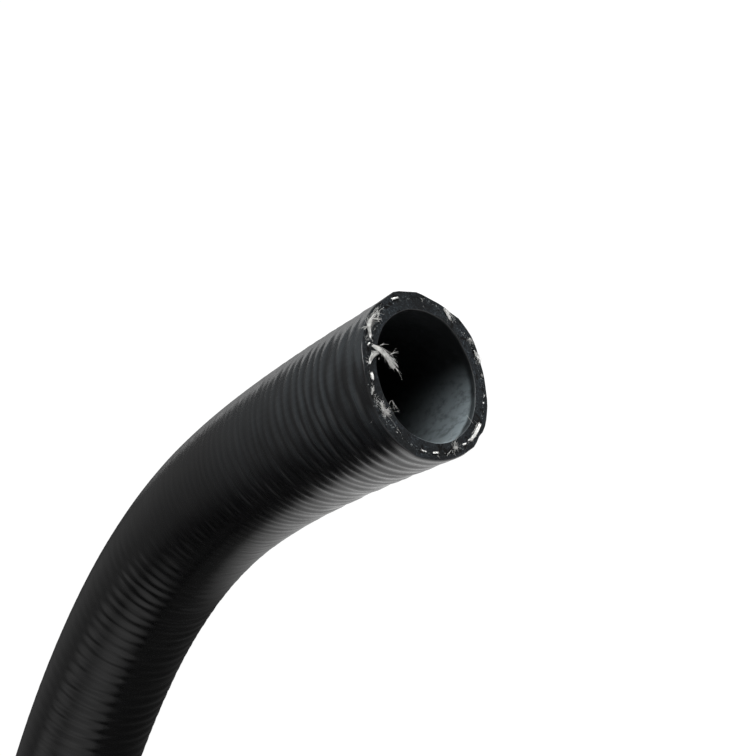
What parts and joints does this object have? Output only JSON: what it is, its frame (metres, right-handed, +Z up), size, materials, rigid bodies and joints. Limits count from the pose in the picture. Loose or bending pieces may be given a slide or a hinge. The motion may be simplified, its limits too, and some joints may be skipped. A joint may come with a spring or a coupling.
{
  "type": "reinforced rubber hose",
  "caption": "Bare cut length of thick-walled, yarn-reinforced black rubber hose with a finely ringed cover, lying in an open curve.",
  "frame": {"origin": "on the floor under the middle of the hose's box", "axes": "+Z up, +X out of the near end's mouth"},
  "size_m": [0.5161, 0.4597, 0.0408],
  "materials": {
    "tube_rubber": "smooth matt extruded rubber",
    "cover_rubber": "satin black rubber with fine rounded rings",
    "yarn": "off-white twisted yarn, frayed where it is cut"
  },
  "bodies": {
    "root": {"inner_tube": "tube_rubber", "yarn_layer": "yarn", "outer_cover": "cover_rubber", "yarn_ends_near": "yarn", "yarn_ends_far": "yarn"}
  },
  "joints": []
}
